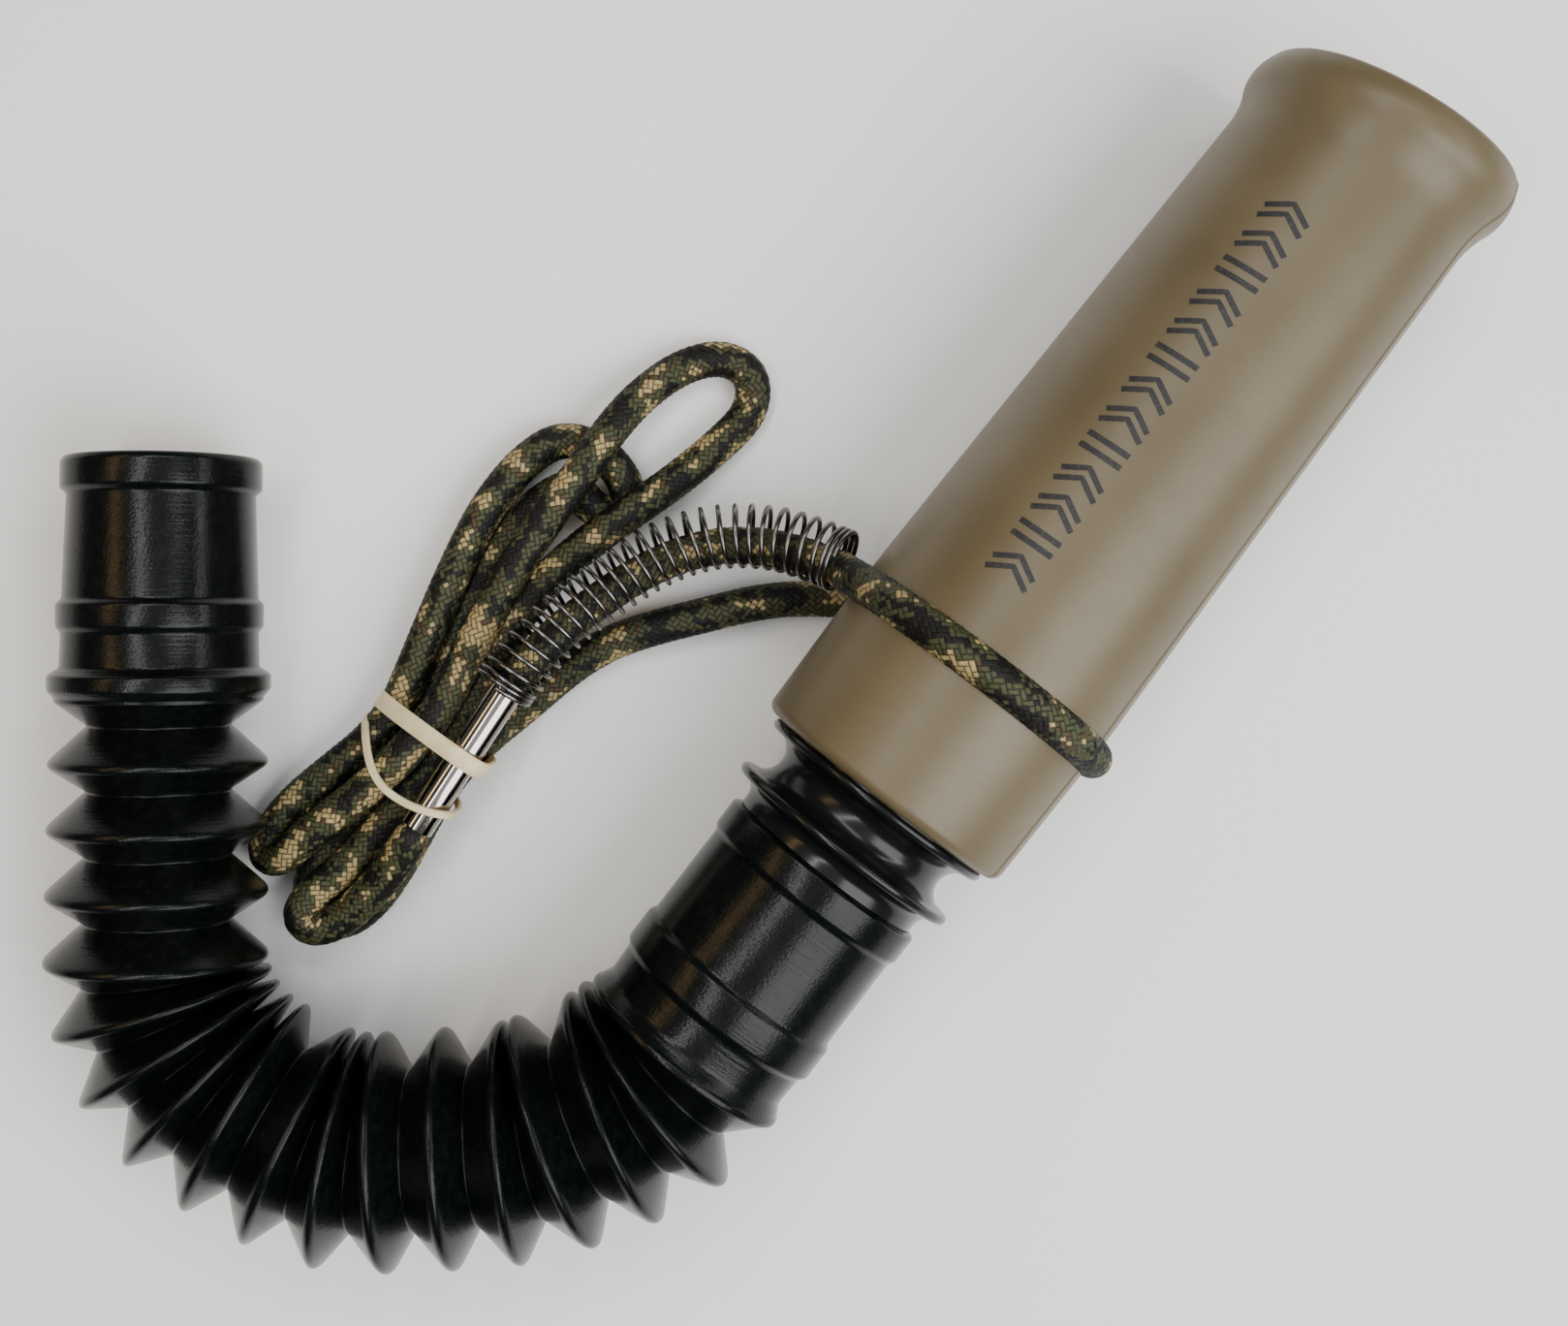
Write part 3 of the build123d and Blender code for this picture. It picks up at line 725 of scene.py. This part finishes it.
SECOND_FOLD = [(-56.8, 59.0, 6.3), (-60.9, 60.0, 4.7), (-61.5, 62.3, 3.4), (-58.0, 63.5, 3.0)]
TO_SMALL_LOOP = [(-52.2, 63.2, 3.4), (-45.6, 61.6, 4.5), (-38.8, 59.9, 5.6), (-32.4, 59.7, 6.1),
                 (-25.6, 61.5, 6.2), (-18.2, 63.5, 6.0), (-10.0, 65.6, 5.5), (-1.8, 67.1, 4.8),
                 (6.4, 66.9, 4.0)]
SMALL_LOOP = [(12.2, 64.8, 3.2), (14.4, 59.4, 2.6), (12.8, 52.8, 2.6)]
BACK_DOWN = [(8.8, 50.4, 2.6), (6.6, 54.0, 2.6), (8.0, 59.4, 2.6), (2.4, 61.8, 2.8), (-4.6, 62.0, 2.8),
             (-11.0, 61.4, 2.6), (-17.8, 60.0, 2.6), (-25.0, 57.8, 2.6), (-32.6, 55.6, 2.6),
             (-40.4, 54.4, 2.6), (-48.4, 54.6, 2.6), (-56.2, 55.4, 2.6)]
THIRD_FOLD = [(-61.6, 54.4, 2.6), (-64.6, 50.6, 2.6), (-62.4, 46.6, 2.6), (-56.8, 45.3, 2.6)]
TO_STRAND = [(-50.0, 45.8, 2.6), (-42.9, 47.1, 2.6), (-36.0, 47.8, 2.6), (-29.0, 47.0, 2.6),
             (-21.4, 45.2, 2.6)]
STRAND = [(-12.8, 43.4, 2.8), (-6.8, 41.0, 2.9), (-1.2, 37.2, 2.9), (4.8, 32.4, 3.0), (10.6, 27.8, 3.2),
          (15.4, 22.6, 3.3), (19.4, 16.6, 3.3)]
lanyard_points = at_barrel(LEAD + IN_FERRULE + FIRST_FOLD + TO_BIG_LOOP + BIG_LOOP + FROM_BIG_LOOP
                           + SECOND_FOLD + TO_SMALL_LOOP + SMALL_LOOP + BACK_DOWN + THIRD_FOLD + TO_STRAND
                           + STRAND)
ferrule_start, ferrule_end = at_barrel([(-19.5, 48.6, 14.2), (-43.2, 46.9, 13.4)])
CORD_STEP = 0.3
CORD_SIDES = 48
PICK_HEIGHT = 0.3
SQUEEZE, SQUEEZE_SLOPE = 0.24, 12     # share of the radius, and how soon it starts at the ferrule's ends
SQUEEZE_REACH = 6.0


def braid_height(u, v):
    """Height of the braid over its core, 0 to 1: yarns run both ways, two over and two under."""
    right, left = BRAID_YARNS * u + v / BRAID_ROW, BRAID_YARNS * u - v / BRAID_ROW
    right_id, left_id = np.floor(right), np.floor(left)
    over = np.mod(right_id - left_id, 4) < 1.5
    across = np.where(over, right - right_id, left - left_id)
    lengthwise = np.where(over, np.mod(left - right_id + 1, 4), np.mod(right - left_id - 2, 4))
    return np.sqrt(np.clip(1 - (2 * across - 1) ** 2, 0, 1)) * (1 - 0.5 * (lengthwise - 1) ** 4)


def braided(name, path, first_side, floor, squeeze=None):
    """Braided tube along a path, nowhere below floor. squeeze(point) is a factor on its radius."""
    path, stations = evenly(path, CORD_STEP)
    normals, sides = carried(path, first_side)
    angles = full_turn(CORD_SIDES)
    rows = []
    for i, point in enumerate(path):
        radius = CORD_D / 2 - PICK_HEIGHT * 0.6 + PICK_HEIGHT * braid_height(angles / (2 * pi), stations[i])
        if squeeze:
            radius = radius * squeeze(point)
        out = np.outer(np.cos(angles), normals[i]) + np.outer(np.sin(angles), sides[i])
        rows.append(point + radius[:, None] * out)
    rows = np.array(rows)
    rows[..., 2] = np.maximum(rows[..., 2], floor)
    return skin(name, rows, caps=True)


def in_ferrule(point):
    """The cord is squeezed where the ferrule grips it, and swells out again past both ends."""
    way = ferrule_end - ferrule_start
    share = np.dot(point - ferrule_start, way) / np.dot(way, way)
    off_ferrule = np.linalg.norm(point - ferrule_start - np.clip(share, 0, 1) * way)
    if off_ferrule >= SQUEEZE_REACH:
        return 1.0
    inside = min(1, max(0, 1 - max(-share, share - 1) * SQUEEZE_SLOPE))
    return 1 - SQUEEZE * inside * inside * (3 - 2 * inside)


lanyard_path = spline_path(lanyard_points)
lanyard = braided("lanyard", lanyard_path, (0, 0, 1), 0.05, in_ferrule)
finish_piece(lanyard, CAMO, "barrel", ["lanyard_lead", "lanyard_strand", "lanyard_hank"],
             angle=80)

# The turn round the barrel: off the lead, over the top, under the barrel and out to the strand
LEAVES_TOP, LEAVES_UNDER = radians(25), radians(-70)
ring_angles = np.linspace(LEAVES_TOP, 2 * pi + LEAVES_UNDER, 40)
wrap_ring = [(GROOVE_X, WRAP_R * cos(a), AXIS_Z + WRAP_R * sin(a)) for a in ring_angles]
wrap_points = at_barrel([LEAD[0], (21.0, 20.2, 23.2)] + wrap_ring + [(20.9, 11.6, 3.2), STRAND[-1]])
wrap = braided("barrel_wrap", spline_path(wrap_points), (1, 0, 0), 0.02)
finish_piece(wrap, CAMO, "barrel", ["lanyard_wrap"], angle=80)

# ------------------------------------------------------------------ spring
SPRING_START = (20.9, 22.0, 17.6)
SPRING_COILS = 30
CLOSED_COILS = 2.5
SPRING_SIDE = 1.35       # the cord lies to one side in the spring
SPRING_UP = 0.6
COIL_STEPS = 30
WIRE_SIDES = 10
side_way = np.array((0.793, 0.609, 0))


def coil_station(turn, length):
    """How far along the spring a turn is: the coils at both ends are closed."""
    closed_pitch = SPRING_WIRE * 1.05
    open_turns = SPRING_COILS - 2 * CLOSED_COILS
    open_pitch = (length - 2 * CLOSED_COILS * closed_pitch) / open_turns
    first = min(turn, CLOSED_COILS)
    last = max(0, turn - SPRING_COILS + CLOSED_COILS)
    middle = turn - first - last
    return (first + last) * closed_pitch + middle * open_pitch


def spring_helix():
    lead = spline_path(at_barrel([SPRING_START] + LEAD[1:] + [(-21.5, 48.4, 14.2)]))
    path, stations = evenly(lead + side_way * SPRING_SIDE + np.array((0, 0, SPRING_UP)), 0.2)
    normals, sides = carried(path, (0, 0, 1))
    coil_radius = SPRING_R - SPRING_WIRE / 2
    helix = []
    for i in range(SPRING_COILS * COIL_STEPS + 1):
        turn = i / COIL_STEPS
        s = coil_station(turn, stations[-1])
        centre, normal, side = (np.array([np.interp(s, stations, values[:, c]) for c in range(3)])
                                for values in (path, normals, sides))
        angle = 2 * pi * turn
        helix.append(centre + coil_radius * (cos(angle) * unit(normal) + sin(angle) * unit(side)))
    return np.array(helix)


def wire(name, path, radius, sides, first_side):
    normals, binormals = carried(path, first_side)
    angles = full_turn(sides)
    rows = [p + radius * (np.outer(np.cos(angles), n) + np.outer(np.sin(angles), b))
            for p, n, b in zip(path, normals, binormals)]
    return skin(name, rows, caps=True)


spring = wire("spring", spring_helix(), SPRING_WIRE / 2, WIRE_SIDES, (1, 0, 0))
finish_piece(spring, STEEL, "barrel", ["cinch_spring"], angle=60)

# ------------------------------------------------------------------ ferrule
ferrule_axis = Turning(ferrule_start, ferrule_end - ferrule_start, (0, 0, 1))
ferrule_length = float(np.linalg.norm(ferrule_end - ferrule_start))
inner = FERRULE_R - FERRULE_WALL
ferrule_outline = softened([(0, inner), (0, FERRULE_R), (ferrule_length, FERRULE_R), (ferrule_length, inner)],
                           0.12)
ferrule = turned("ferrule_tube", ferrule_axis, ferrule_outline, full_turn(96))
finish_piece(ferrule, CHROME, "barrel", ["ferrule"], angle=40)

# ------------------------------------------------------------------ rubber band, one loop in two turns
BAND_THICK = 0.7


def strip(name, points, width, width_way=np.array((1.0, 0, 0))):
    """Flat band along a closed route, with its width near width_way."""
    path = evenly(spline_path(points, closed=True), 0.4)[0]
    centre = path.mean(0)
    rows = []
    for point, tangent in zip(path, unit(np.gradient(path, axis=0))):
        across = unit(width_way - np.dot(width_way, tangent) * tangent)
        out = np.cross(across, tangent)
        if np.dot(out, point - centre) < 0:
            out = -out
        corners = [(-1, 0.5), (-0.8, 1), (0.8, 1), (1, 0.5), (1, -0.5), (0.8, -1), (-0.8, -1), (-1, -0.5)]
        rows.append([point + across * a * width / 2 + out * b * BAND_THICK / 2 for a, b in corners])
    return skin(name, np.array(rows), loop=True)


UPPER_TURN = at_barrel([(-31.0, 43.9, 12.6), (-31.2, 44.6, 16.0), (-31.3, 48.2, 17.0), (-31.7, 52.0, 15.4),
                        (-32.0, 55.6, 13.9), (-32.5, 59.4, 11.2), (-33.0, 62.6, 7.4), (-33.0, 62.0, 3.2),
                        (-32.8, 58.2, 0.6), (-32.4, 52.4, 0.4), (-31.8, 46.4, 0.5), (-31.2, 43.9, 4.6)])
LOWER_TURN = at_barrel([(-38.6, 43.8, 12.8), (-38.8, 44.6, 16.0), (-40.2, 47.4, 16.2), (-41.4, 51.0, 14.6),
                        (-41.6, 54.6, 13.4), (-40.2, 58.0, 11.8), (-37.0, 61.8, 8.2), (-36.4, 62.6, 3.4),
                        (-37.0, 58.6, 0.6), (-38.0, 52.6, 0.4), (-38.6, 46.4, 0.5), (-38.6, 43.9, 4.6)])
upper_turn = strip("band_upper_turn", UPPER_TURN, 2.5)
lower_turn = strip("band_lower_turn", LOWER_TURN, 1.1)
finish_piece(upper_turn, LATEX, "barrel", ["rubber_band"], angle=50)
finish_piece(lower_turn, LATEX, "barrel", angle=50)

# ------------------------------------------------------------------ CAD nodes that stay
SEAL, CLEAR, FILM, CORK = seal_rubber(), clear_plastic(), reed_film(), cork()
KEPT = {"mouth_insert": BLACK, "insert_seal_rear": SEAL, "insert_seal_front": SEAL, "adapter_seal": SEAL,
        "tone_board": CLEAR, "reed": FILM, "reed_wedge": CORK, "reed_band": SEAL}
for name, material in KEPT.items():
    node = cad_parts[name]
    node.data.materials.clear()
    node.data.materials.append(material)

# ------------------------------------------------------------------ floor, light and camera
VIEW_TURN = radians(-52.5)
CAMERA_PLACE = (0.0022, -0.0034, 0.269)
SENSOR_WIDTH, LENS = 36, 42.23
CAMERA_SHIFT = (0.0797, -0.0766)
right_way = Vector((cos(VIEW_TURN), sin(VIEW_TURN), 0))
up_way = Vector((-sin(VIEW_TURN), cos(VIEW_TURN), 0))

floor_mesh = bpy.data.meshes.new("floor")
floor_mesh.from_pydata([(-2, -2, 0), (2, -2, 0), (2, 2, 0), (-2, 2, 0)], [], [(0, 1, 2, 3)])
floor = bpy.data.objects.new("floor", floor_mesh)
bpy.context.scene.collection.objects.link(floor)
floor_finish = Finish("floor_white", srgb(246, 246, 245), 0.9)
floor.data.materials.append(floor_finish.material)


def softbox(name, right, up, height, width, depth, power, colour=(1, 1, 1)):
    """Rectangular light that faces the object, placed by the main view's right and up. Its depth runs toward
    the object and its width across that."""
    light = bpy.data.lights.new(name, "AREA")
    light.shape = "RECTANGLE"
    light.size, light.size_y = width, depth
    light.energy, light.color = power, colour
    lamp = bpy.data.objects.new(name, light)
    lamp.location = right_way * right + up_way * up + Vector((0, 0, height))
    lamp.rotation_euler = (-lamp.location).to_track_quat("-Z", "Y").to_euler()
    bpy.context.scene.collection.objects.link(lamp)


softbox("main_right", 0.32, -0.25, 0.5, 0.46, 0.46, 4.2)
softbox("ceiling", 0.06, 0.0, 0.56, 0.6, 0.72, 0.7)
softbox("back_top", 0.1, 0.36, 0.6, 0.5, 0.12, 1.2)
softbox("strip_left", -0.15, 0.05, 0.5, 0.6, 0.04, 1.2)
softbox("strip_right", 0.48, 0.0, 0.3, 0.6, 0.03, 0.75)
softbox("warm_left", -0.275, 0.1, 0.28, 0.3, 0.05, 0.26, (1.0, 0.65, 0.26))

world = bpy.data.worlds.new("studio")
world.use_nodes = True
world.node_tree.nodes["Background"].inputs[0].default_value = (1, 1, 1, 1)
world.node_tree.nodes["Background"].inputs[1].default_value = 0.1
bpy.context.scene.world = world

camera_data = bpy.data.cameras.new("camera")
camera = bpy.data.objects.new("camera", camera_data)
camera.location = CAMERA_PLACE
camera.rotation_euler = (0, 0, VIEW_TURN)
camera_data.sensor_width, camera_data.lens = SENSOR_WIDTH, LENS
camera_data.shift_x, camera_data.shift_y = CAMERA_SHIFT
camera_data.clip_start = 0.01
bpy.context.scene.collection.objects.link(camera)
bpy.context.scene.camera = camera
